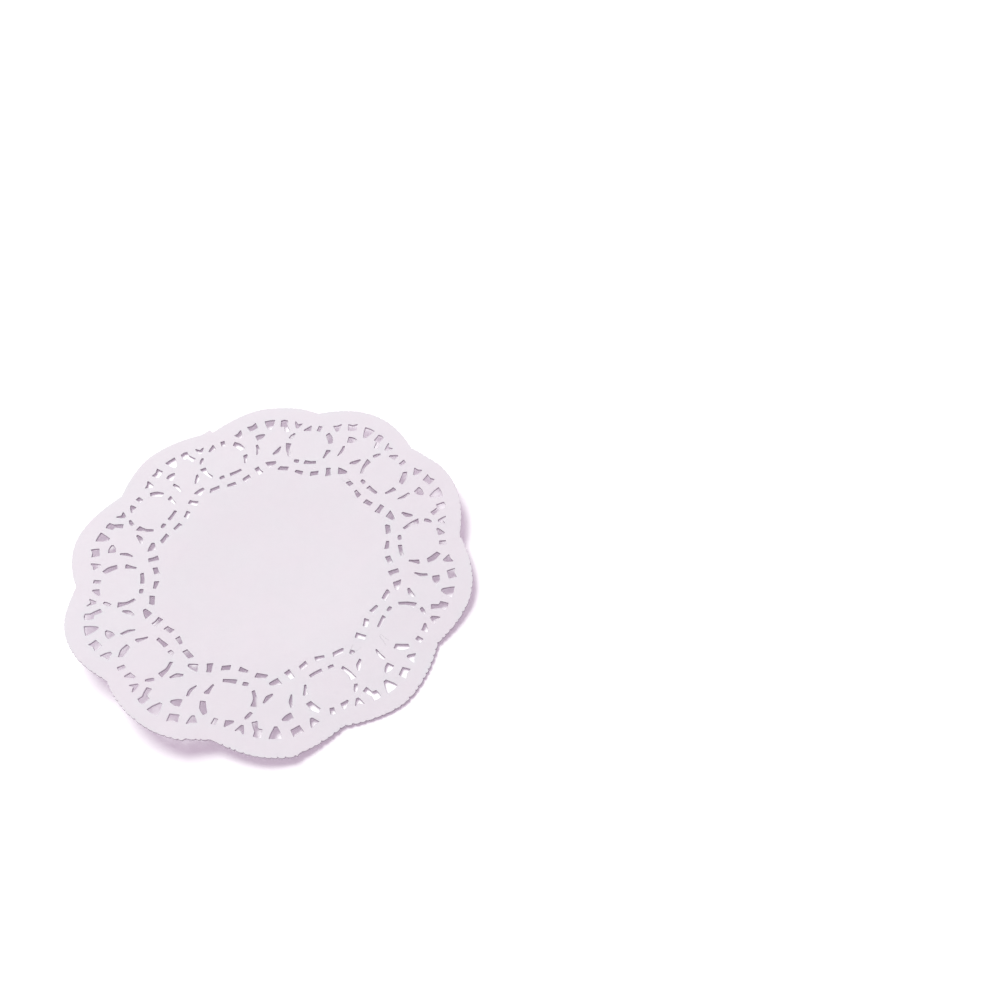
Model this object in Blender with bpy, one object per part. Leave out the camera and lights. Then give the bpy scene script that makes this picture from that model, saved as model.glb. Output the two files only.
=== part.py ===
"""Round paper doily: one punched, scalloped sheet that lies open in a shallow curl.

The lace is one repeat of punched slots round a plain roundel, charted in millimetres and
turned ten times about the middle. Units are metres with +Z up. The origin is the centre of
the lace, on the underside, in the flat strip that the sheet rests on.
"""
import math
from collections import namedtuple

import bpy
from mathutils import Vector
from mathutils.geometry import delaunay_2d_cdt

MM = 0.001

# Sheet
THICKNESS = 1.0 * MM
PAPER_COLOUR = (0.86, 0.82, 0.86, 1.0)
PAPER_ROUGHNESS = 0.85
MIDDLE_RADIUS = 44.0  # mm, plain middle inside the first row of slots
MIDDLE_RINGS = 5

# Rim, in mm and degrees: a valley over each roundel and a crest half way to the next one
REPEATS = 10
VALLEY_RADIUS = 77.9
CREST_RADIUS = 82.5
RIM_TURN = -0.9
RIM_SLIP = (-0.45, 0.1)
RIM_STEPS = 12  # corners from one valley to the next

# Stretches where the trimmed rim swells out (+) or falls short (-) round an angle in degrees, by
# a height in mm that fades over a spread in degrees
Swell = namedtuple("Swell", "angle height spread")
SWELLS = (
    Swell(29, -0.5, 4),
    Swell(84, -0.4, 4),
    Swell(129, 0.6, 6),
    Swell(145, -0.3, 6),
    Swell(162, 0.4, 6),
    Swell(182, -0.7, 7),
    Swell(228, -1.4, 24),
    Swell(270, 1.1, 9),
    Swell(304, 0.8, 6),
    Swell(341, 0.8, 9),
)

# Steps in the rim where the trimming cut met itself: the rim stands out at the angle in degrees,
# by a height in mm, and runs back to its own line over a spread in degrees
Nick = namedtuple("Nick", "angle height spread")
NICKS = (Nick(107.0, 2.2, 3.6), Nick(244.3, 0.8, -14.0), Nick(273.8, 0.8, -6.0))
NICK_FACE = 0.4  # degrees that the step's face takes up

# Curl, in mm and degrees: a flat strip down the middle, and a side that lifts on each hand
CURL_DIRECTION = 32.5
FLAT_HALF_WIDTH = 10.0
CURL_REACH = 80.0
LIFT_AHEAD = 7.2
LIFT_BEHIND = 9.6

# One slot is a short bar cut along an arched middle line, with a width at its start, middle and
# end. In mm: across is its middle's place beside the spoke through the roundel, out its place
# along that spoke, and peak a point (+) or a notch (-) in its end. In degrees: lean is the middle
# line's heading, bend how far that heading turns, and the rakes tilt its two end cuts.
Slot = namedtuple(
    "Slot",
    "name across out lean length start middle end bend rake_start rake_end peak",
    defaults=(0, 0, 0, 0),
)
LACE = (
    # inner row:          across  out   lean  length  start middle end
    Slot("heel",           -8.4, 48.4,     0,   4.5,   2.2,  2.0,  2.1, rake_start=-30, rake_end=-12),
    Slot("bar",            -1.1, 47.2,   -12,   3.7,   1.3,  1.7,  2.1, rake_end=8),
    Slot("brick",           5.8, 47.2,    15,   3.5,   2.2,  2.0,  2.0, rake_start=-10, rake_end=-10),
    Slot("post",           11.8, 48.4,   -79,   4.1,   2.1,  1.9,  2.5, bend=8),
    Slot("wedge",          18.1, 49.0,    -8,   4.1,   3.3,  2.6,  1.2, rake_start=18),
    # round the roundel
    Slot("hook",           -8.8, 58.0,   -72,   7.1,   2.6,  1.4,  1.3, bend=40),
    Slot("comma",          -8.5, 65.4,  -121,   3.4,   0.9,  1.7,  1.3, bend=18),
    Slot("fin",            -2.4, 69.4,    27,   3.6,   0.8,  2.0,  2.9, rake_end=-25),
    Slot("block",           3.0, 69.9,  -100,   2.8,   1.9,  1.8,  1.8),
    Slot("elbow",           8.9, 65.3,   -64,   5.8,   1.9,  2.7,  2.1, bend=-40),
    Slot("quill",           8.9, 57.2,  -110,   4.7,   2.3,  1.3,  0.9, rake_start=22),
    Slot("smile",           2.7, 52.4,     4,   5.3,   1.9,  1.5,  1.4, bend=16),
    Slot("bead",           -3.5, 52.7,     0,   2.3,   1.2,  1.9,  1.5),
    # between two roundels
    Slot("sail",          -13.2, 57.0,  -119,   5.2,   0.8,  2.1,  0.9, bend=-50),
    Slot("sliver",         15.6, 59.0,  -110,   5.7,   1.1,  1.5,  0.6, bend=-50),
    Slot("house",          19.1, 65.0,     0,   4.1,   3.0,  3.2,  0.8),
    # outer row; the boot is one slot made of two bars that run into each other
    Slot("horn",           11.0, 70.7,    98,   3.6,   1.0,  2.9,  4.1, rake_end=15, peak=-0.5),
    Slot("crown",          17.8, 71.5,    94,   3.4,   3.8,  4.1,  4.3, peak=-0.6),
    Slot("fan",           -20.1, 70.2,   104,   5.0,   1.2,  3.7,  5.0, peak=0.2),
    Slot("boot",          -13.9, 71.5,    94,   3.4,   2.6,  3.0,  3.2, peak=0.4),
    Slot("boot_leg",      -12.2, 69.2,   -62,   4.2,   1.5,  2.0,  2.2),
    Slot("heart",          -7.2, 71.2,    86,   3.6,   1.0,  3.0,  4.0, rake_end=-12, peak=-1.4),
)
# Slots in which the punched chip still hangs: the repeat counted from +X, the slot, and the share
# of its length, from its start, that the chip fills
Chip = namedtuple("Chip", "repeat slot filled")
CHIPS = (Chip(9, "quill", 1.0), Chip(9, "wedge", 0.55), Chip(1, "heel", 0.45))
WIDEST_AT = -0.2  # share of a slot's length before which its outline still has its middle corners


def clear_scene():
    for thing in list(bpy.data.objects):
        bpy.data.objects.remove(thing, do_unlink=True)


def turned(points, angle):
    """Points turned about the doily's middle by an angle in radians."""
    c, s = math.cos(angle), math.sin(angle)
    return [(x * c - y * s, x * s + y * c) for x, y in points]


def middle_line(slot, share):
    """Point and heading on a slot's arched middle line, share -0.5 to 0.5 of its length."""
    lean, bend = math.radians(slot.lean), math.radians(slot.bend)
    heading = lean + bend * share
    if slot.bend:
        along = (math.sin(heading) - math.sin(lean)) / bend
        aside = (math.cos(lean) - math.cos(heading)) / bend
    else:
        along, aside = share * math.cos(lean), share * math.sin(lean)
    return slot.across + slot.length * along, slot.out + slot.length * aside, heading


def cut_across(slot, share, width, rake):
    """The two corners, left and right of the middle line, where a slot has this width."""
    x, y, heading = middle_line(slot, share)
    cut = heading + math.radians(90 + rake)
    half = width / 2 / math.cos(math.radians(rake))
    dx, dy = half * math.cos(cut), half * math.sin(cut)
    return (x + dx, y + dy), (x - dx, y - dy)


def width_at(slot, share):
    """Width of a slot, which changes evenly from its start to its middle and on to its end."""
    end_width = slot.start if share < 0 else slot.end
    return slot.middle + (end_width - slot.middle) * 2 * abs(share)


def slot_corners(slot, first):
    """Outline of one slot from a share of its length on, counter-clockwise, in the chart's frame."""
    start_left, start_right = cut_across(slot, first, width_at(slot, first), slot.rake_start)
    end_left, end_right = cut_across(slot, 0.5, slot.end, slot.rake_end)
    right, left = [start_right], [start_left]
    if first < WIDEST_AT:
        middle_left, middle_right = cut_across(slot, 0.0, slot.middle, 0)
        right.append(middle_right)
        left.insert(0, middle_left)
    right.append(end_right)
    if slot.peak:
        x, y, heading = middle_line(slot, 0.5)
        right.append((x + slot.peak * math.cos(heading), y + slot.peak * math.sin(heading)))
    return right + [end_left] + left


def lace_outlines():
    """Every slot of the border. The chart's spoke points along +Y, and is turned to each roundel."""
    filled = {(chip.repeat, chip.slot): chip.filled for chip in CHIPS}
    outlines = []
    for repeat in range(REPEATS):
        spoke = math.tau * repeat / REPEATS - math.pi / 2
        for slot in LACE:
            first = filled.get((repeat, slot.name), 0.0) - 0.5
            if first < 0.5:
                outlines.append(turned(slot_corners(slot, first), spoke))
    return outlines


def rim_radius(angle):
    """Radius of the scalloped rim at an angle in degrees."""
    scallop = abs(math.sin(math.radians(angle - RIM_TURN) * REPEATS / 2))
    radius = VALLEY_RADIUS + (CREST_RADIUS - VALLEY_RADIUS) * scallop
    for swell in SWELLS:
        off = (angle - swell.angle + 180) % 360 - 180
        radius += swell.height * math.exp(-((off / swell.spread) ** 2))
    return radius


def rim_step(angle):
    """How far the nicks make the rim stand out at an angle in degrees."""
    out = 0.0
    for nick in NICKS:
        past = ((angle - nick.angle) * math.copysign(1, nick.spread)) % 360 / abs(nick.spread)
        out += nick.height * max(0.0, 1 - past)
    return out


def rim_outline():
    steps = REPEATS * RIM_STEPS
    angles = [RIM_TURN % 360 + 360 * step / steps for step in range(steps)]
    for nick in NICKS:
        face = math.copysign(NICK_FACE, nick.spread)
        angles += [nick.angle - face, nick.angle]
    corners = []
    for angle in sorted(angle % 360 for angle in angles):
        radius = rim_radius(angle) + rim_step(angle)
        x = RIM_SLIP[0] + radius * math.cos(math.radians(angle))
        y = RIM_SLIP[1] + radius * math.sin(math.radians(angle))
        corners.append((x, y))
    return corners


def middle_points():
    """Points over the plain middle, on rings, so that the curl bends it in small facets."""
    points = [(0.0, 0.0)]
    for ring in range(1, MIDDLE_RINGS + 1):
        radius = MIDDLE_RADIUS * ring / (MIDDLE_RINGS + 0.5)
        count = 6 * ring
        points += [
            (radius * math.cos(math.tau * i / count), radius * math.sin(math.tau * i / count))
            for i in range(count)
        ]
    return points


def curl_lift(x, y):
    """Height of the underside over the surface that the doily lies on, in mm."""
    direction = math.radians(CURL_DIRECTION)
    off_strip = x * math.cos(direction) + y * math.sin(direction)
    side_lift = LIFT_AHEAD if off_strip > 0 else LIFT_BEHIND
    share = max(0.0, abs(off_strip) - FLAT_HALF_WIDTH) / (CURL_REACH - FLAT_HALF_WIDTH)
    return side_lift * share**2


def sheet_plan():
    """Flat triangles of the sheet between the rim and the slots: points in mm, and index triples."""
    outlines = [rim_outline()] + lace_outlines()
    points, loops = [], []
    for outline in outlines:
        loops.append(list(range(len(points), len(points) + len(outline))))
        points += outline
    points += middle_points()
    flat, _, triangles, _, _, loops_over = delaunay_2d_cdt(
        [Vector(point) for point in points], [], loops, 0, 1e-5, True
    )
    paper = [tri for tri, over in zip(triangles, loops_over) if list(over) == [0]]
    used = sorted({corner for tri in paper for corner in tri})
    place = {old: new for new, old in enumerate(used)}
    return [flat[old] for old in used], [[place[corner] for corner in tri] for tri in paper]


def cut_edges(triangles):
    """Directed edges that only one triangle has: the rim and the slots' sides."""
    edges = {(tri[i], tri[(i + 1) % 3]) for tri in triangles for i in range(3)}
    return sorted(edge for edge in edges if edge[::-1] not in edges)


def sheet_mesh(name):
    """The closed sheet: an upper and a lower skin, joined by a wall round every cut edge."""
    plan, triangles = sheet_plan()
    under = [(x * MM, y * MM, curl_lift(x, y) * MM) for x, y in plan]
    over = [(x, y, z + THICKNESS) for x, y, z in under]
    count = len(plan)
    faces = [[a + count, b + count, c + count] for a, b, c in triangles]
    faces += [[c, b, a] for a, b, c in triangles]
    faces += [[b + count, a + count, a, b] for a, b in cut_edges(triangles)]
    mesh = bpy.data.meshes.new(name)
    mesh.from_pydata(under + over, [], faces)
    mesh.validate()
    mesh.shade_smooth()
    mesh.set_sharp_from_angle(angle=math.radians(30))
    return mesh


def paper_material():
    material = bpy.data.materials.new("doily_paper")
    material.use_nodes = True
    shader = material.node_tree.nodes["Principled BSDF"]
    shader.inputs["Base Color"].default_value = PAPER_COLOUR
    shader.inputs["Roughness"].default_value = PAPER_ROUGHNESS
    shader.inputs["Metallic"].default_value = 0.0
    return material


def build():
    clear_scene()
    doily = bpy.data.objects.new("doily", sheet_mesh("doily"))
    doily.data.materials.append(paper_material())
    bpy.context.scene.collection.objects.link(doily)


build()
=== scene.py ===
"""Looks of the round paper doily: the thin punched sheet, its paper, and a plain pale stage."""
import math
import random
from collections import namedtuple

import bpy
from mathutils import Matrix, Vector, kdtree, noise
from mathutils.geometry import delaunay_2d_cdt, intersect_point_line


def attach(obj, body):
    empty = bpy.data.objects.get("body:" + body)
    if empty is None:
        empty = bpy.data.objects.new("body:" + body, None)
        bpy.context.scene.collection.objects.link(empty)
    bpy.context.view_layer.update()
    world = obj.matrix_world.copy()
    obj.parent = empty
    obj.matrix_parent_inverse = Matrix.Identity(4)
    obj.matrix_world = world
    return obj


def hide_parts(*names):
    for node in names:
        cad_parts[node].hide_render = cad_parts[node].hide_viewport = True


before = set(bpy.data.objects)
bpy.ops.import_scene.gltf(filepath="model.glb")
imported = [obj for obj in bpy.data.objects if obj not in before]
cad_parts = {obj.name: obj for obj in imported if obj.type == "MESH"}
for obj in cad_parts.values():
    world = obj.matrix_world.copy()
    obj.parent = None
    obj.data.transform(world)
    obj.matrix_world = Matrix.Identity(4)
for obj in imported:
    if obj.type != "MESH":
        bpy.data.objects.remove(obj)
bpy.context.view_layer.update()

bl_info = {
    "name": "Paper Lace Doily",
    "version": (1, 0, 0),
    "blender": (4, 5, 0),
    "location": "3D View > Sidebar > Doily",
    "description": "A round punched paper doily that lies open in a shallow curl",
    "category": "Add Mesh",
}

MM = 0.001
SOLID_NODE = "doily"

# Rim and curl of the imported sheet, in mm and degrees
REPEATS = 10
VALLEY_RADIUS = 77.9
CREST_RADIUS = 82.5
RIM_TURN = -0.9
RIM_SLIP = (-0.45, 0.1)
CURL_DIRECTION = 32.5
FLAT_HALF_WIDTH = 10.0
CURL_REACH = 80.0
LIFT_AHEAD = 7.2
LIFT_BEHIND = 9.6

# One slot is a short bar cut along an arched middle line, with a width at its start, middle and
# end. In mm: across is its middle's place beside the spoke through the roundel, out its place
# along that spoke, and peak a point (+) or a notch (-) in its end. In degrees: lean is the middle
# line's heading, bend how far that heading turns, and the rakes tilt its two end cuts.
Slot = namedtuple(
    "Slot",
    "name across out lean length start middle end bend rake_start rake_end peak",
    defaults=(0, 0, 0, 0),
)
LACE = (
    # inner row:        across  out   lean  length  start middle end
    Slot("heel",         -8.4, 48.4,     0,   4.5,   2.2,  2.0,  2.1, rake_start=-30, rake_end=-12),
    Slot("bar",          -1.1, 47.2,   -12,   3.7,   1.3,  1.7,  2.1, rake_end=8),
    Slot("brick",         5.8, 47.2,    15,   3.5,   2.2,  2.0,  2.0, rake_start=-10, rake_end=-10),
    Slot("post",         11.8, 48.4,   -79,   4.1,   2.1,  1.9,  2.5, bend=8),
    Slot("wedge",        18.1, 49.0,    -8,   4.1,   3.3,  2.6,  1.2, rake_start=18),
    # round the roundel
    Slot("hook",         -8.8, 58.0,   -72,   7.1,   2.6,  1.4,  1.3, bend=40),
    Slot("comma",        -8.5, 65.4,  -121,   3.4,   0.9,  1.7,  1.3, bend=18),
    Slot("fin",          -2.4, 69.4,    27,   3.6,   0.8,  2.0,  2.9, rake_end=-25),
    Slot("block",         3.0, 69.9,  -100,   2.8,   1.9,  1.8,  1.8),
    Slot("elbow",         8.9, 65.3,   -64,   5.8,   1.9,  2.7,  2.1, bend=-40),
    Slot("quill",         8.9, 57.2,  -110,   4.7,   2.3,  1.3,  0.9, rake_start=22),
    Slot("smile",         2.7, 52.4,     4,   5.3,   1.9,  1.5,  1.4, bend=16),
    Slot("bead",         -3.5, 52.7,     0,   2.3,   1.2,  1.9,  1.5),
    # between two roundels
    Slot("sail",        -13.2, 57.0,  -119,   5.2,   0.8,  2.1,  0.9, bend=-50),
    Slot("sliver",       15.6, 59.0,  -110,   5.7,   1.1,  1.5,  0.6, bend=-50),
    Slot("house",        19.1, 65.0,     0,   4.1,   3.0,  3.2,  0.8),
    # outer row; the boot is one slot made of two bars that run into each other
    Slot("horn",         11.0, 70.7,    98,   3.6,   1.0,  2.9,  4.1, rake_end=15, peak=-0.5),
    Slot("crown",        17.8, 71.5,    94,   3.4,   3.8,  4.1,  4.3, peak=-0.6),
    Slot("fan",         -20.1, 70.2,   104,   5.0,   1.2,  3.7,  5.0, peak=0.2),
    Slot("boot",        -13.9, 71.5,    94,   3.4,   2.6,  3.0,  3.2, peak=0.4),
    Slot("boot_leg",    -12.2, 69.2,   -62,   4.2,   1.5,  2.0,  2.2),
    Slot("heart",        -7.2, 71.2,    86,   3.6,   1.0,  3.0,  4.0, rake_end=-12, peak=-1.4),
)
# Slots in which the punched chip still hangs: the repeat counted from +X, the slot, and the share
# of its length, from its start, that the chip fills
Chip = namedtuple("Chip", "repeat slot filled")
CHIPS = (Chip(9, "quill", 1.0), Chip(9, "wedge", 0.55), Chip(1, "heel", 0.45))
WIDEST_AT = -0.2  # share of a slot's length before which its outline still has its middle corners

# Stretches where the trimmed rim swells out (+) or falls short (-) round an angle in degrees, by
# a height in mm that fades over a spread in degrees
Swell = namedtuple("Swell", "angle height spread")
SWELLS = (
    Swell(29, -0.5, 4),
    Swell(84, -0.4, 4),
    Swell(129, 0.6, 6),
    Swell(145, -0.3, 6),
    Swell(162, 0.4, 6),
    Swell(182, -0.7, 7),
    Swell(228, -1.4, 24),
    Swell(270, 1.1, 9),
    Swell(304, 0.8, 6),
    Swell(341, 0.8, 9),
)

# Steps in the rim where the trimming cut met itself: the rim stands out at the angle in degrees,
# by a height in mm, and runs back to its own line over a spread in degrees
Nick = namedtuple("Nick", "angle height spread")
NICKS = (Nick(107.0, 2.2, 3.6), Nick(244.3, 0.8, -14.0), Nick(273.8, 0.8, -6.0))

# How the cuts are drawn: lengths in mm
CORNER_EASE = 0.18
SIDE_EASE = 1.0
EASE_LIMIT = 0.45  # share of a side that the ease at one of its ends may take
EASE_STEPS = 2
OUTLINE_PITCH = 0.6
LIP_WIDTH = 0.12
INSET_HELD = 0.95  # share of an inset that a point must keep from every side, or it is dropped
SCORE_WIDTH = 0.035
SCORE_HELD = 0.14  # share of a scored outline, at the slot's start, that still holds the chip
WANDER = 0.16
WANDER_LENGTH = 3.5
WANDER_APART = Vector((0.0, 0.0, 7.3))  # from the noise of one axis to that of the other

# One tooth of the rim: shares of its length, and how much of the notch's depth it sinks there
TOOTH = ((0.0, 1.0), (0.12, 0.45), (0.3, 0.15), (0.6, 0.0), (0.85, 0.2), (0.93, 0.5))
TOOTH_JITTER = 0.22
TOOTH_DEPTHS = (0.5, 1.4)  # least and most of the set depth that a tooth gets
DULL_TEETH_AT = 125.0  # degrees
DULL_TEETH = 0.3  # share of their depth that the dullest teeth have

# How the paper stands off the surface, as radii and lengths in mm
RISE_START = 12.0
RISE_END = 52.0
RIPPLE_LENGTH = 14.0
CRINKLE_LENGTH = 4.5
CRINKLE_SHARE = 0.4  # of the ripples' height

# Mesh, in mm: how far its inner points stay from a cut, and how fast a cut's nearness fades
GRID_CLEARANCE = 0.95
GRID_ROW = math.sqrt(0.75)  # rows of a triangular grid, for each unit of its pitch
CUT_REACH = 1.2
LIP_NEARNESS = math.exp(-LIP_WIDTH / CUT_REACH)
JOIN_WITHIN = 1e-5
SHARP_ANGLE = math.radians(45)

# Finish
FIBRE_HEADINGS = (12, 74, 131)  # degrees
FIBRE_STRETCH = 0.12  # width of a fibre's noise cell along its length, against across it
LEAST_SHADE = 0.985
GLOSS_PLAY = 0.06
GRAIN_HEIGHT = 0.02 * MM
FACE_GRAIN = 0.35
CUT_GRAIN = 0.6
FACE_CLOUDS, FACE_FIBRES = 5.0 * MM, 0.5 * MM
CUT_CLOUDS, CUT_FIBRES = 1.2 * MM, 0.2 * MM
TINT_SPAN = 3.0  # size of the tint's patches, against the clouds'
DRIFT = 0.3  # most that the tint drifts to cool away from the cuts
GLOW_REACH = 0.4 * MM
GLOW_SPREAD = (1.0, 0.95, 1.0)  # share of that reach for red, green and blue
FLOOR_ROUGHNESS = 0.9
FLOOR_SHINE = 0.1
FLOOR_MOTTLE = 30.0
FLOOR_PALER = 1.01  # the mottle's brighter patches, against the floor's colour
FLOOR_DROP = 0.02 * MM

# Camera
SENSOR_WIDTH = 36.0  # mm
NEAREST_SEEN = 0.01  # metres


# --- plan of the lace, in mm -------------------------------------------------------------------


def turned(points, angle):
    """Points turned about the doily's middle by an angle in radians."""
    c, s = math.cos(angle), math.sin(angle)
    return [Vector((x * c - y * s, x * s + y * c)) for x, y in points]


def middle_line(slot, share):
    """Point and heading on a slot's arched middle line, share -0.5 to 0.5 of its length."""
    lean, bend = math.radians(slot.lean), math.radians(slot.bend)
    heading = lean + bend * share
    if slot.bend:
        along = (math.sin(heading) - math.sin(lean)) / bend
        aside = (math.cos(lean) - math.cos(heading)) / bend
    else:
        along, aside = share * math.cos(lean), share * math.sin(lean)
    return slot.across + slot.length * along, slot.out + slot.length * aside, heading


def cut_across(slot, share, width, rake):
    """The two corners, left and right of the middle line, where a slot has this width."""
    x, y, heading = middle_line(slot, share)
    cut = heading + math.radians(90 + rake)
    half = width / 2 / math.cos(math.radians(rake))
    dx, dy = half * math.cos(cut), half * math.sin(cut)
    return Vector((x + dx, y + dy)), Vector((x - dx, y - dy))


def width_at(slot, share):
    """Width of a slot, which changes evenly from its start to its middle and on to its end."""
    end_width = slot.start if share < 0 else slot.end
    return slot.middle + (end_width - slot.middle) * 2 * abs(share)


def slot_corners(slot, first):
    """Corners of one slot from a share of its length on, counter-clockwise, each with its ease."""
    start_left, start_right = cut_across(slot, first, width_at(slot, first), slot.rake_start)
    end_left, end_right = cut_across(slot, 0.5, slot.end, slot.rake_end)
    right, left = [(start_right, CORNER_EASE)], [(start_left, CORNER_EASE)]
    if first < WIDEST_AT:
        middle_left, middle_right = cut_across(slot, 0.0, slot.middle, 0)
        right.append((middle_right, SIDE_EASE))
        left.insert(0, (middle_left, SIDE_EASE))
    right.append((end_right, CORNER_EASE))
    if slot.peak:
        x, y, heading = middle_line(slot, 0.5)
        peak = Vector((x + slot.peak * math.cos(heading), y + slot.peak * math.sin(heading)))
        right.append((peak, CORNER_EASE))
    return right + [(end_left, CORNER_EASE)] + left


def eased(corners):
    """An outline in which each corner is a short curve that starts its ease away from it."""
    outline = []
    count = len(corners)
    for i, (corner, ease) in enumerate(corners):
        before, after = corners[i - 1][0] - corner, corners[(i + 1) % count][0] - corner
        start = corner + before * min(EASE_LIMIT, ease / before.length)
        end = corner + after * min(EASE_LIMIT, ease / after.length)
        for step in range(EASE_STEPS + 1):
            t = step / EASE_STEPS
            outline.append(start * (1 - t) ** 2 + corner * 2 * t * (1 - t) + end * t**2)
    return outline


def stepped(outline, pitch):
    """The outline with more points, so that no two neighbours are further apart than the pitch."""
    points = []
    for here, there in zip(outline, outline[1:] + outline[:1]):
        count = max(1, math.ceil((there - here).length / pitch))
        points += [here.lerp(there, i / count) for i in range(count)]
    return points


def grown(outline, distance):
    """The outline moved outwards by a distance, or inwards by a negative one."""
    moved = []
    count = len(outline)
    for i, point in enumerate(outline):
        run = outline[(i + 1) % count] - outline[i - 1]
        moved.append(point + Vector((run.y, -run.x)).normalized() * distance)
    return moved


def gap(point, outline):
    """Distance from a point to the nearest side of an outline."""
    nearest = math.inf
    for here, there in zip(outline, outline[1:] + outline[:1]):
        foot, share = intersect_point_line(point, here, there)
        foot = here if share < 0 else there if share > 1 else foot.to_2d()
        nearest = min(nearest, (point - foot).length)
    return nearest


def inset(outline, distance):
    """The outline moved inwards, without the points at narrow tips that would cross over."""
    return [p for p in grown(outline, -distance) if gap(p, outline) > INSET_HELD * distance]


def scored(outline):
    """A thin cut along the outline that stops short of closing, so the chip stays in place."""
    open_count = len(outline) - max(1, round(len(outline) * SCORE_HELD))
    inner = grown(outline, -SCORE_WIDTH)
    return outline[:open_count] + inner[:open_count][::-1]


def slot_outline(slot, first):
    """Outline of one slot from a share of its length on, with eased corners and short steps."""
    return stepped(eased(slot_corners(slot, first)), OUTLINE_PITCH)


def strayed(point):
    """A point of the lace, moved a little by the play of the punches."""
    spot = (point / WANDER_LENGTH).to_3d()
    return point + Vector((noise.noise(spot), noise.noise(spot + WANDER_APART))) * WANDER


def punched(outline, spoke):
    """An outline turned to its spoke, with the play of the punches."""
    return [strayed(point) for point in turned(outline, spoke)]


def lace_outlines():
    """The border's open slots, and the scored lines round its chips, spoke by spoke from +X."""
    filled = {(chip.repeat, chip.slot): chip.filled for chip in CHIPS}
    opened, scores = [], []
    for repeat in range(REPEATS):
        spoke = math.tau * repeat / REPEATS - math.pi / 2  # the chart's own spoke is +Y
        for slot in LACE:
            chip = filled.get((repeat, slot.name), 0.0)
            if chip:
                scores.append(punched(scored(slot_outline(slot, -0.5)), spoke))
            if chip < 1:
                opened.append(punched(inset(slot_outline(slot, chip - 0.5), LIP_WIDTH), spoke))
    return opened, scores


def rim_radius(angle):
    """Radius of the scalloped rim at an angle in degrees."""
    scallop = abs(math.sin(math.radians(angle - RIM_TURN) * REPEATS / 2))
    radius = VALLEY_RADIUS + (CREST_RADIUS - VALLEY_RADIUS) * scallop
    for swell in SWELLS:
        off = (angle - swell.angle + 180) % 360 - 180
        radius += swell.height * math.exp(-((off / swell.spread) ** 2))
    return radius


def rim_step(angle):
    """How far the nicks make the rim stand out at an angle in degrees."""
    out = 0.0
    for nick in NICKS:
        past = ((angle - nick.angle) * math.copysign(1, nick.spread)) % 360 / abs(nick.spread)
        out += nick.height * max(0.0, 1 - past)
    return out


def sharpness(angle):
    """Share of their full depth that the teeth have at an angle in degrees."""
    away = (1 - math.cos(math.radians(angle - DULL_TEETH_AT))) / 2
    return DULL_TEETH + (1 - DULL_TEETH) * away


def rim_outline(tooth_pitch, tooth_depth, seed):
    """The scalloped rim with its fine teeth and its nicks."""
    chance = random.Random(seed)
    teeth = round(math.tau * (VALLEY_RADIUS + CREST_RADIUS) / 2 / tooth_pitch)
    jitters = [chance.uniform(-TOOTH_JITTER, TOOTH_JITTER) for _ in range(teeth)]
    starts = [360 * (i + jitter) / teeth for i, jitter in enumerate(jitters)]
    depths = [tooth_depth * chance.uniform(*TOOTH_DEPTHS) * sharpness(start) for start in starts]
    starts.append(starts[0] + 360)
    points = []
    for i in range(teeth):
        for share, sink in TOOTH:
            depth = depths[i] if share < 0.5 else depths[(i + 1) % teeth]  # of the nearer notch
            angle = starts[i] + (starts[i + 1] - starts[i]) * share
            radius = rim_radius(angle) + rim_step(angle) - depth * sink
            x = RIM_SLIP[0] + radius * math.cos(math.radians(angle))
            y = RIM_SLIP[1] + radius * math.sin(math.radians(angle))
            points.append(Vector((x, y)))
    return points


def grid_points(pitch):
    """Points of a triangular grid that covers the sheet."""
    points = []
    rows = int(CREST_RADIUS / (pitch * GRID_ROW)) + 1
    for row in range(-rows, rows + 1):
        y = row * pitch * GRID_ROW
        shift = pitch / 2 if row % 2 else 0.0
        for column in range(-rows, rows + 1):
            points.append(Vector((column * pitch + shift, y)))
    return points


# --- height of the paper, in mm ----------------------------------------------------------------


def curl_lift(x, y):
    """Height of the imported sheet's underside over the surface that the doily lies on."""
    direction = math.radians(CURL_DIRECTION)
    off_strip = x * math.cos(direction) + y * math.sin(direction)
    side_lift = LIFT_AHEAD if off_strip > 0 else LIFT_BEHIND
    share = max(0.0, abs(off_strip) - FLAT_HALF_WIDTH) / (CURL_REACH - FLAT_HALF_WIDTH)
    return side_lift * share**2


def smooth_step(low, high, value):
    """0 below the low value, 1 above the high one, and an even slope between them."""
    share = min(1.0, max(0.0, (value - low) / (high - low)))
    return share * share * (3 - 2 * share)


class Relief:
    """Height of the paper's underside: the curl, the lace's lift and ripples, and rolled cuts."""

    def __init__(self, settings, cuts):
        self.lace_rise = settings.lace_rise / MM
        self.ripple = settings.ripple_height / MM
        self.roll = settings.cut_roll / MM
        self.cuts = kdtree.KDTree(len(cuts))
        for i, point in enumerate(cuts):
            self.cuts.insert(point.to_3d(), i)
        self.cuts.balance()

    def to_cut(self, point):
        """Distance from a point of the plan to the nearest point of a cut."""
        return self.cuts.find(point.to_3d())[2]

    def height(self, point):
        """Height at a point of the plan."""
        lace = smooth_step(RISE_START, RISE_END, point.length)
        spot = point.to_3d()
        crinkle = CRINKLE_SHARE * noise.noise(spot / CRINKLE_LENGTH)
        ripple = noise.noise(spot / RIPPLE_LENGTH) + crinkle
        rolled = 1.0 if self.to_cut(point) < LIP_WIDTH / 2 else 0.0
        lift = curl_lift(point.x, point.y)
        return lift + lace * (self.lace_rise + self.ripple * ripple - self.roll * rolled)


# --- the sheet ---------------------------------------------------------------------------------


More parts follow.
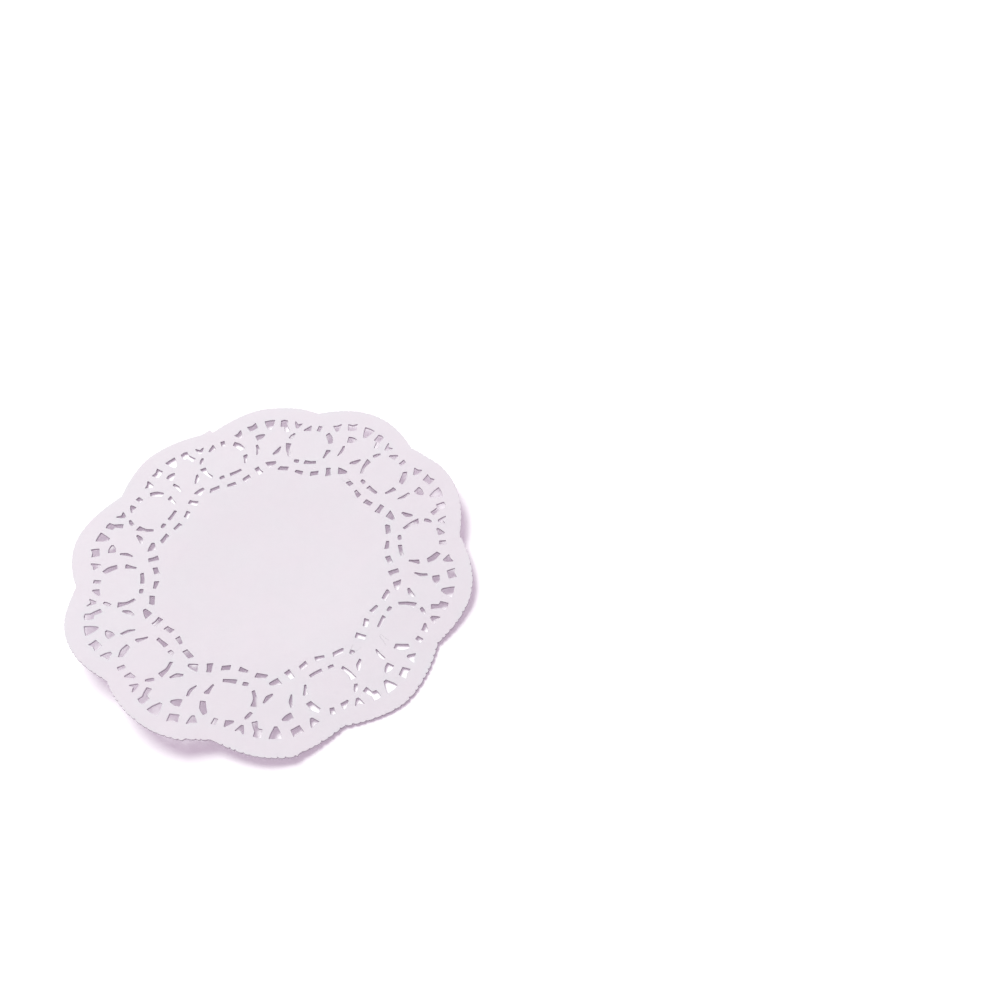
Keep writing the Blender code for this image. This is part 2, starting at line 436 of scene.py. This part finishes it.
def sheet_plan(settings):
    """Flat triangles of the sheet, as points in mm and index triples, and the sheet's relief."""
    rim = rim_outline(settings.tooth_pitch / MM, settings.tooth_depth / MM, settings.seed)
    opened, scores = lace_outlines()
    relief = Relief(settings, [point for outline in [rim] + opened for point in outline])
    points, loops = [], []
    for outline in [rim] + opened + scores:
        loops.append(list(range(len(points), len(points) + len(outline))))
        points += outline
    points += grown(rim, -LIP_WIDTH)
    for outline in opened:
        points += grown(outline, LIP_WIDTH)
    inside = [p for p in grid_points(settings.mesh_pitch / MM) if p.length < CREST_RADIUS]
    points += [p for p in inside if relief.to_cut(p) > GRID_CLEARANCE]
    made = delaunay_2d_cdt(points, [], loops, 0, JOIN_WITHIN, True)
    flat, triangles, loops_over = made[0], made[2], made[5]
    # Paper lies within the rim, which is loop 0, and within no other loop
    paper = [tri for tri, over in zip(triangles, loops_over) if list(over) == [0]]
    if not paper:
        raise RuntimeError("The cuts leave no paper: make the teeth and slots smaller")
    used = sorted({corner for tri in paper for corner in tri})
    place = {old: new for new, old in enumerate(used)}
    return [flat[old] for old in used], [[place[c] for c in tri] for tri in paper], relief


def cut_edges(triangles):
    """Directed edges that only one triangle has: the rim and the slots' sides."""
    edges = {(tri[i], tri[(i + 1) % 3]) for tri in triangles for i in range(3)}
    return sorted(edge for edge in edges if edge[::-1] not in edges)


def sheet_mesh(settings):
    """The closed thin sheet: two skins, a wall round every cut, and how near each point is."""
    plan, triangles, relief = sheet_plan(settings)
    under = [(p.x * MM, p.y * MM, relief.height(p) * MM) for p in plan]
    over = [(x, y, z + settings.thickness) for x, y, z in under]
    count = len(plan)
    faces = [[a + count, b + count, c + count] for a, b, c in triangles]
    faces += [[c, b, a] for a, b, c in triangles]
    skins = len(faces)
    faces += [[b + count, a + count, a, b] for a, b in cut_edges(triangles)]
    mesh = bpy.data.meshes.new("paper_sheet")
    mesh.from_pydata(under + over, [], faces)
    mesh.polygons.foreach_set("material_index", [0] * skins + [1] * (len(faces) - skins))
    nearness = [math.exp(-relief.to_cut(p) / CUT_REACH) for p in plan]
    kept = mesh.attributes.new("cut_nearness", "FLOAT", "POINT")
    kept.data.foreach_set("value", nearness * 2)  # the upper skin's points have the same
    mesh.validate()
    mesh.shade_smooth()
    mesh.set_sharp_from_angle(angle=SHARP_ANGLE)
    return mesh


# --- materials ---------------------------------------------------------------------------------


def add_socket(group, name, kind, way, value=None):
    """A named socket on a node group, with its default if it is an input."""
    socket = group.interface.new_socket(name=name, in_out=way, socket_type=kind)
    if value is not None:
        socket.default_value = value


def add_noise(nodes, links, place, detail, roughness, scale=1.0):
    """Noise at a place, from 0 to 1."""
    node = nodes.new("ShaderNodeTexNoise")
    node.inputs["Scale"].default_value = scale
    node.inputs["Detail"].default_value = detail
    node.inputs["Roughness"].default_value = roughness
    links.new(place, node.inputs["Vector"])
    return node.outputs["Fac"]


def spread(nodes, links, value, low, high, to_low=0.0, to_high=1.0):
    """A value's range from low to high, spread over another range."""
    node = nodes.new("ShaderNodeMapRange")
    links.new(value, node.inputs["Value"])
    ends = (("From Min", low), ("From Max", high), ("To Min", to_low), ("To Max", to_high))
    for name, number in ends:
        node.inputs[name].default_value = number
    return node.outputs["Result"]


def mathed(nodes, links, operation, first, second):
    """A sum, product or the like of two values, each a number or another node's output."""
    node = nodes.new("ShaderNodeMath")
    node.operation = operation
    for socket, value in zip(node.inputs, (first, second)):
        if isinstance(value, (int, float)):
            socket.default_value = value
        else:
            links.new(value, socket)
    return node.outputs[0]


def pulp_group():
    """Paper pulp: soft clouds of denser fibre, a slow drift of tint, and fine felted fibres."""
    group = bpy.data.node_groups.new("Paper pulp", "ShaderNodeTree")
    add_socket(group, "Cloud Size", "NodeSocketFloat", "INPUT", FACE_CLOUDS)
    add_socket(group, "Fibre Size", "NodeSocketFloat", "INPUT", FACE_FIBRES)
    for name in ("Cloud", "Tint", "Fibre"):
        add_socket(group, name, "NodeSocketFloat", "OUTPUT")
    nodes, links = group.nodes, group.links
    given, result = nodes.new("NodeGroupInput"), nodes.new("NodeGroupOutput")
    place = nodes.new("ShaderNodeTexCoord").outputs["Object"]

    def scaled(size, stretch=(1, 1, 1), turn=0.0):
        """Coordinates in cells of the size, stretched along one heading."""
        mapping = nodes.new("ShaderNodeMapping")
        mapping.inputs["Rotation"].default_value = (0, 0, math.radians(turn))
        mapping.inputs["Scale"].default_value = stretch
        cells = nodes.new("ShaderNodeVectorMath")
        cells.operation = "SCALE"
        links.new(place, cells.inputs[0])
        links.new(mathed(nodes, links, "DIVIDE", 1.0, size), cells.inputs["Scale"])
        links.new(cells.outputs[0], mapping.inputs["Vector"])
        return mapping.outputs["Vector"]

    cloud = add_noise(nodes, links, scaled(given.outputs["Cloud Size"]), detail=4.0, roughness=0.6)
    tint_size = mathed(nodes, links, "MULTIPLY", given.outputs["Cloud Size"], TINT_SPAN)
    tint = add_noise(nodes, links, scaled(tint_size), detail=2.0, roughness=0.5)
    felt = 0.0
    for heading in FIBRE_HEADINGS:
        place_along = scaled(given.outputs["Fibre Size"], (FIBRE_STRETCH, 1, 1), heading)
        strands = add_noise(nodes, links, place_along, detail=3.0, roughness=0.7)
        felt = mathed(nodes, links, "MAXIMUM", strands, felt)
    links.new(spread(nodes, links, cloud, 0.3, 0.7), result.inputs["Cloud"])
    links.new(spread(nodes, links, tint, 0.35, 0.65), result.inputs["Tint"])
    links.new(spread(nodes, links, felt, 0.45, 0.8), result.inputs["Fibre"])
    return group


def mixed_colour(nodes, links, share, first, second, blend="MIX"):
    """Two colours mixed by a share; each of the three is plain or another node's output."""
    node = nodes.new("ShaderNodeMix")
    node.data_type = "RGBA"
    node.blend_type = blend
    sockets = {s.identifier: s for s in node.inputs}
    for name, value in (("Factor_Float", share), ("A_Color", first), ("B_Color", second)):
        if hasattr(value, "is_linked"):
            links.new(value, sockets[name])
        else:
            sockets[name].default_value = value
    return next(s for s in node.outputs if s.identifier == "Result_Color")


def new_material(name, roughness):
    """A material with its nodes, its links and its Principled BSDF."""
    material = bpy.data.materials.new(name)
    material.use_nodes = True
    shader = material.node_tree.nodes["Principled BSDF"]
    shader.inputs["Roughness"].default_value = roughness
    shader.inputs["Metallic"].default_value = 0.0
    return material, material.node_tree.nodes, material.node_tree.links, shader


def opaque(colour):
    """The colour with full alpha."""
    return (*colour, 1.0)


def add_pulp(nodes, pulp, cloud_size, fibre_size):
    """The pulp group placed in a material with its own sizes."""
    node = nodes.new("ShaderNodeGroup")
    node.node_tree = pulp
    node.inputs["Cloud Size"].default_value = cloud_size
    node.inputs["Fibre Size"].default_value = fibre_size
    return node


def add_grain(nodes, links, height, strength, shader):
    """Fine paper grain from a height."""
    bump = nodes.new("ShaderNodeBump")
    bump.inputs["Strength"].default_value = strength
    bump.inputs["Distance"].default_value = GRAIN_HEIGHT
    links.new(height, bump.inputs["Height"])
    links.new(bump.outputs["Normal"], shader.inputs["Normal"])


def face_material(settings, pulp):
    """The pressed faces: faint clouds, drifting tint, felted fibres, and painted shade on the
    rolled edges.
    """
    material, nodes, links, shader = new_material("doily_paper_face", settings.roughness)
    made = add_pulp(nodes, pulp, FACE_CLOUDS, FACE_FIBRES)
    cut = nodes.new("ShaderNodeAttribute")
    cut.attribute_name = "cut_nearness"
    near_cut = mathed(nodes, links, "MULTIPLY", cut.outputs["Fac"], made.outputs["Tint"])
    drift = spread(nodes, links, made.outputs["Tint"], 0.0, 1.0, 0.0, DRIFT)
    tinted = mixed_colour(
        nodes, links, mathed(nodes, links, "MAXIMUM", near_cut, drift),
        opaque(settings.warm_colour), opaque(settings.cool_colour),
    )
    # Painted shade: on the rolled lip of each cut the paper turns to the dark edge colour, which
    # stands in for the shadow at the cut's edge
    paper_and_edge_shade = mixed_colour(
        nodes, links, spread(nodes, links, cut.outputs["Fac"], LIP_NEARNESS, 1.0), tinted,
        opaque(settings.painted_edge_shade),
    )
    cloud_shade = spread(nodes, links, made.outputs["Cloud"], 0.0, 1.0, LEAST_SHADE)
    fibre_shade = spread(nodes, links, made.outputs["Fibre"], 0.0, 1.0, LEAST_SHADE)
    value = mathed(nodes, links, "MULTIPLY", cloud_shade, fibre_shade)
    grey = nodes.new("ShaderNodeCombineColor")
    for socket in grey.inputs:
        links.new(value, socket)
    shaded = mixed_colour(nodes, links, 1.0, paper_and_edge_shade, grey.outputs[0], "MULTIPLY")
    links.new(shaded, shader.inputs["Base Color"])
    smoothest = settings.roughness - GLOSS_PLAY
    gloss = spread(nodes, links, made.outputs["Cloud"], 0.0, 1.0, smoothest, settings.roughness)
    links.new(gloss, shader.inputs["Roughness"])
    height = mathed(nodes, links, "ADD", made.outputs["Fibre"], made.outputs["Cloud"])
    add_grain(nodes, links, height, FACE_GRAIN, shader)
    shader.inputs["Subsurface Weight"].default_value = settings.glow
    shader.inputs["Subsurface Radius"].default_value = GLOW_SPREAD
    shader.inputs["Subsurface Scale"].default_value = GLOW_REACH
    return material


def cut_material(settings, pulp):
    """The punched sides of the sheet: fibre a little rougher than the faces, painted darker as
    shade along the cuts.
    """
    material, nodes, links, shader = new_material("doily_paper_cut", settings.roughness)
    fibre = add_pulp(nodes, pulp, CUT_CLOUDS, CUT_FIBRES).outputs["Fibre"]
    # The walls' darker colour is painted shade along the cuts
    shaded_wall, paper_and_edge_shade = opaque(settings.shaded_cut_colour), opaque(settings.cool_colour)
    links.new(mixed_colour(nodes, links, fibre, shaded_wall, paper_and_edge_shade), shader.inputs["Base Color"])
    add_grain(nodes, links, fibre, CUT_GRAIN, shader)
    return material


def floor_material(settings):
    """A plain pale floor with the faintest mottle."""
    material, nodes, links, shader = new_material("pale_floor", FLOOR_ROUGHNESS)
    place = nodes.new("ShaderNodeTexCoord").outputs["Object"]
    cloud = add_noise(nodes, links, place, detail=3.0, roughness=0.5, scale=FLOOR_MOTTLE)
    pale = opaque(settings.floor_colour)
    paler = opaque([channel * FLOOR_PALER for channel in settings.floor_colour])
    links.new(mixed_colour(nodes, links, cloud, pale, paler), shader.inputs["Base Color"])
    shader.inputs["Specular IOR Level"].default_value = FLOOR_SHINE
    shader.inputs["Emission Color"].default_value = opaque(settings.glow_colour)
    shader.inputs["Emission Strength"].default_value = settings.floor_glow
    return material


# --- settings ----------------------------------------------------------------------------------


class DoilySheetSettings(bpy.types.PropertyGroup):
    """Sizes and colours of the punched sheet."""

    thickness: bpy.props.FloatProperty(
        name="Paper Thickness", description="From face to face", default=0.22 * MM,
        unit="LENGTH", precision=5,
    )
    lace_rise: bpy.props.FloatProperty(
        name="Lace Rise", description="How far the punched border stands off the surface",
        default=1.0 * MM, unit="LENGTH", precision=5,
    )
    ripple_height: bpy.props.FloatProperty(
        name="Ripple", description="Height of the border's soft ripples", default=0.1 * MM,
        unit="LENGTH", precision=5,
    )
    cut_roll: bpy.props.FloatProperty(
        name="Cut Roll", description="How far the die pressed each cut's edge down",
        default=0.6 * MM, unit="LENGTH", precision=5,
    )
    tooth_pitch: bpy.props.FloatProperty(
        name="Tooth Pitch", description="Length of one fine tooth along the rim",
        default=2.6 * MM, unit="LENGTH", precision=5,
    )
    tooth_depth: bpy.props.FloatProperty(
        name="Tooth Depth", description="Depth of the notch between two teeth",
        default=0.5 * MM, unit="LENGTH", precision=5,
    )
    mesh_pitch: bpy.props.FloatProperty(
        name="Mesh Pitch", description="Length of the plain paper's triangles",
        default=1.8 * MM, unit="LENGTH", precision=5,
    )
    seed: bpy.props.IntProperty(name="Seed", description="Draws the rim's teeth", default=4)
    warm_colour: bpy.props.FloatVectorProperty(
        name="Warm Paper", description="Paper where it drifts to pink", subtype="COLOR",
        default=(0.71, 0.666, 0.705),
    )
    cool_colour: bpy.props.FloatVectorProperty(
        name="Cool Paper", description="Paper where it drifts to grey", subtype="COLOR",
        default=(0.685, 0.681, 0.705),
    )
    # Painted shade: the dark colour of each cut's rolled lip stands in for the shadow at the edge
    painted_edge_shade: bpy.props.FloatVectorProperty(
        name="Painted Edge Shade", description="Paper where the die rolled the edge of a cut",
        subtype="COLOR", default=(0.40, 0.34, 0.40),
    )
    # Painted shade: the walls' colour is darker than the paper's so that the cuts read as shaded
    shaded_cut_colour: bpy.props.FloatVectorProperty(
        name="Shaded Cut Wall", description="Raw fibre along the cuts", subtype="COLOR",
        default=(0.50, 0.44, 0.50),
    )
    roughness: bpy.props.FloatProperty(
        name="Roughness", description="Of the pressed face", default=0.9, subtype="FACTOR"
    )
    glow: bpy.props.FloatProperty(
        name="Glow", description="How much light the thin paper lets through", default=0.25,
        subtype="FACTOR",
    )


class DoilyStageSettings(bpy.types.PropertyGroup):
    """Camera, floor and lights."""

    camera_place: bpy.props.FloatVectorProperty(
        name="Camera Place", description="Where the camera stands", subtype="TRANSLATION",
        unit="LENGTH", default=(61.1 * MM, -237.46 * MM, 379.7 * MM),
    )
    camera_turn: bpy.props.FloatVectorProperty(
        name="Camera Turn", description="How the camera is turned", subtype="EULER",
        unit="ROTATION", default=(math.radians(34.013), math.radians(1.121), math.radians(-9.715)),
    )
    lens: bpy.props.FloatProperty(
        name="Lens", description="Focal length in mm, for the camera's 36 mm sensor", default=38.7,
        unit="CAMERA",
    )
    floor_size: bpy.props.FloatProperty(
        name="Floor Size", description="Side of the floor", default=1.4, unit="LENGTH"
    )
    floor_colour: bpy.props.FloatVectorProperty(
        name="Floor Colour", description="Colour of the floor", subtype="COLOR",
        default=(0.9, 0.9, 0.9),
    )
    glow_colour: bpy.props.FloatVectorProperty(
        name="Glow Colour", description="Colour of the floor's own light", subtype="COLOR",
        default=(0.9, 0.72, 0.9),
    )
    floor_glow: bpy.props.FloatProperty(
        name="Floor Glow", description="Light that the floor gives off, as a light table does",
        default=0.2,
    )
    sky_strength: bpy.props.FloatProperty(
        name="Sky Strength", description="Soft light from all round", default=0.45
    )
    sky_colour: bpy.props.FloatVectorProperty(
        name="Sky Colour", description="Colour of the soft light", subtype="COLOR",
        default=(1.0, 0.8, 1.0),
    )
    backdrop_colour: bpy.props.FloatVectorProperty(
        name="Backdrop", description="Plain backdrop behind the floor", subtype="COLOR",
        default=(1.0, 1.0, 1.0),
    )
    window_power: bpy.props.FloatProperty(
        name="Window Power", description="Power of the soft window light", default=141.0,
        unit="POWER",
    )
    window_colour: bpy.props.FloatVectorProperty(
        name="Window Colour", description="Colour of the window light", subtype="COLOR",
        default=(0.915, 1.0, 0.915),
    )
    window_size: bpy.props.FloatProperty(
        name="Window Size", description="Side of the window light", default=2.1, unit="LENGTH",
    )
    window_heading: bpy.props.FloatProperty(
        name="Window Heading", description="Where the window stands, counted from +X",
        subtype="ANGLE", unit="ROTATION", default=math.radians(120),
    )
    window_height: bpy.props.FloatProperty(
        name="Window Height", description="Its angle over the horizon", subtype="ANGLE",
        unit="ROTATION", default=math.radians(52),
    )
    window_distance: bpy.props.FloatProperty(
        name="Window Distance", description="From the doily", default=3.5, unit="LENGTH"
    )


# --- operators ---------------------------------------------------------------------------------


class DOILY_OT_sheet(bpy.types.Operator):
    """Make the thin punched sheet and dress it in paper"""

    bl_idname = "doily.sheet"
    bl_label = "Make Sheet"

    def execute(self, context):
        settings = context.scene.doily_sheet
        sheet = bpy.data.objects.new("punched_sheet", sheet_mesh(settings))
        pulp = pulp_group()
        sheet.data.materials.append(face_material(settings, pulp))
        sheet.data.materials.append(cut_material(settings, pulp))
        context.scene.collection.objects.link(sheet)
        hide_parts(SOLID_NODE)
        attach(sheet, "root")
        return {"FINISHED"}


class DOILY_OT_stage(bpy.types.Operator):
    """Lay the pale floor and set the camera and the soft lights"""

    bl_idname = "doily.stage"
    bl_label = "Set Stage"

    def execute(self, context):
        scene = context.scene
        settings = scene.doily_stage
        self.lay_floor(scene, settings)
        self.set_camera(scene, settings)
        self.set_lights(scene, settings)
        scene.view_settings.view_transform = "Standard"
        return {"FINISHED"}

    def lay_floor(self, scene, settings):
        """A plain square floor just under the sheet."""
        half = settings.floor_size / 2
        mesh = bpy.data.meshes.new("floor")
        corners = [(-half, -half, 0), (half, -half, 0), (half, half, 0), (-half, half, 0)]
        mesh.from_pydata(corners, [], [(0, 1, 2, 3)])
        mesh.materials.append(floor_material(settings))
        floor = bpy.data.objects.new("floor", mesh)
        floor.location.z = -FLOOR_DROP
        scene.collection.objects.link(floor)

    def set_camera(self, scene, settings):
        """The camera at the viewing angle."""
        data = bpy.data.cameras.new("camera")
        data.sensor_width = SENSOR_WIDTH
        data.lens = settings.lens
        data.clip_start = NEAREST_SEEN
        camera = bpy.data.objects.new("camera", data)
        camera.location = settings.camera_place
        camera.rotation_euler = settings.camera_turn
        scene.collection.objects.link(camera)
        scene.camera = camera

    def set_lights(self, scene, settings):
        """Soft light from all round, a pale backdrop behind the floor, and one large window."""
        world = bpy.data.worlds.new("soft_sky")
        world.use_nodes = True
        nodes, links = world.node_tree.nodes, world.node_tree.links
        light, backdrop = nodes["Background"], nodes.new("ShaderNodeBackground")
        light.inputs["Color"].default_value = opaque(settings.sky_colour)
        light.inputs["Strength"].default_value = settings.sky_strength
        backdrop.inputs["Color"].default_value = opaque(settings.backdrop_colour)
        seen = nodes.new("ShaderNodeMixShader")
        links.new(nodes.new("ShaderNodeLightPath").outputs["Is Camera Ray"], seen.inputs["Fac"])
        links.new(light.outputs[0], seen.inputs[1])
        links.new(backdrop.outputs[0], seen.inputs[2])
        links.new(seen.outputs[0], nodes["World Output"].inputs["Surface"])
        scene.world = world
        data = bpy.data.lights.new("window", "AREA")
        data.energy = settings.window_power
        data.size = settings.window_size
        data.color = settings.window_colour
        window = bpy.data.objects.new("window", data)
        level = math.cos(settings.window_height) * settings.window_distance
        window.location = (
            level * math.cos(settings.window_heading),
            level * math.sin(settings.window_heading),
            math.sin(settings.window_height) * settings.window_distance,
        )
        window.rotation_euler = window.location.to_track_quat("Z", "Y").to_euler()
        scene.collection.objects.link(window)


class DOILY_PT_panel(bpy.types.Panel):
    """The doily's pieces and their settings"""

    bl_label = "Doily"
    bl_idname = "DOILY_PT_panel"
    bl_space_type = "VIEW_3D"
    bl_region_type = "UI"
    bl_category = "Doily"

    def draw(self, context):
        for operator, settings in (
            ("doily.sheet", context.scene.doily_sheet),
            ("doily.stage", context.scene.doily_stage),
        ):
            box = self.layout.box()
            for name in settings.__annotations__:
                box.prop(settings, name)
            box.operator(operator)


CLASSES = (DoilySheetSettings, DoilyStageSettings, DOILY_OT_sheet, DOILY_OT_stage, DOILY_PT_panel)


def register():
    for cls in CLASSES:
        bpy.utils.register_class(cls)
    bpy.types.Scene.doily_sheet = bpy.props.PointerProperty(type=DoilySheetSettings)
    bpy.types.Scene.doily_stage = bpy.props.PointerProperty(type=DoilyStageSettings)


def unregister():
    del bpy.types.Scene.doily_stage
    del bpy.types.Scene.doily_sheet
    for cls in reversed(CLASSES):
        bpy.utils.unregister_class(cls)


def main():
    register()
    bpy.ops.doily.sheet()
    bpy.ops.doily.stage()


if __name__ == "__main__":
    main()
